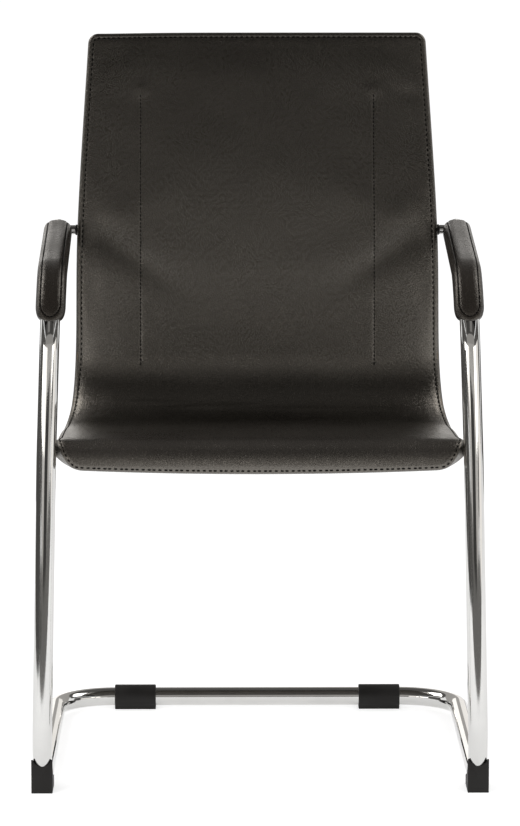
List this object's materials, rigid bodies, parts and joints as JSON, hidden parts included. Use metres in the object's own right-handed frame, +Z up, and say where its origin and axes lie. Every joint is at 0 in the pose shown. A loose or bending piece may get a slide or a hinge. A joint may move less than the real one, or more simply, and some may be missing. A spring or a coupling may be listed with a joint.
{
  "type": "guest_chair",
  "caption": "Visitor chair with a slim one-piece black leather seat and back slung between bright cantilever side frames of round tube with padded arms.",
  "frame": {"origin": "On the floor, under the middle of the overall width and depth", "axes": "+Z up; the front of the chair faces -Y; +X is to the right of someone who looks at its front"},
  "size_m": [0.583, 0.5701, 0.9398],
  "materials": {
    "chrome": "bright plated steel tube",
    "steel": "zinc plated steel",
    "black_plastic": "black moulded plastic",
    "black_leather": "black grained leather with a brown cast",
    "foam": "cut foam",
    "board": "bent plywood"
  },
  "bodies": {
    "root": {"arm_end_plug_left": "black_plastic", "arm_end_plug_right": "black_plastic", "arm_pad_cover_left": "black_leather", "arm_pad_cover_right": "black_leather", "arm_pad_foam_left": "foam", "arm_pad_foam_right": "foam", "back_bolt_left": "steel", "back_bolt_right": "steel", "back_ferrule_left": "chrome", "back_ferrule_right": "chrome", "back_nut_left": "steel", "back_nut_right": "steel", "back_washer_left": "black_plastic", "back_washer_right": "black_plastic", "foam_pad": "foam", "foot_screw_left": "steel", "foot_screw_right": "steel", "front_cover": "black_leather", "front_foot_left": "black_plastic", "front_foot_right": "black_plastic", "front_rail": "steel", "joint_sleeve_left": "steel", "joint_sleeve_right": "steel", "lumbar_rail": "steel", "rear_cover": "black_leather", "rear_cross_tube": "chrome", "rear_glide_left": "black_plastic", "rear_glide_right": "black_plastic", "seat_bolt_left": "steel", "seat_bolt_right": "steel", "seat_bracket_left": "chrome", "seat_bracket_right": "chrome", "seat_bush_left": "black_plastic", "seat_bush_right": "black_plastic", "seat_nut_left": "steel", "seat_nut_right": "steel", "seat_rear_rail": "steel", "side_rail_left": "steel", "side_rail_right": "steel", "side_tube_left": "chrome", "side_tube_right": "chrome", "support_panel": "board", "top_rail": "steel"}
  },
  "joints": []
}
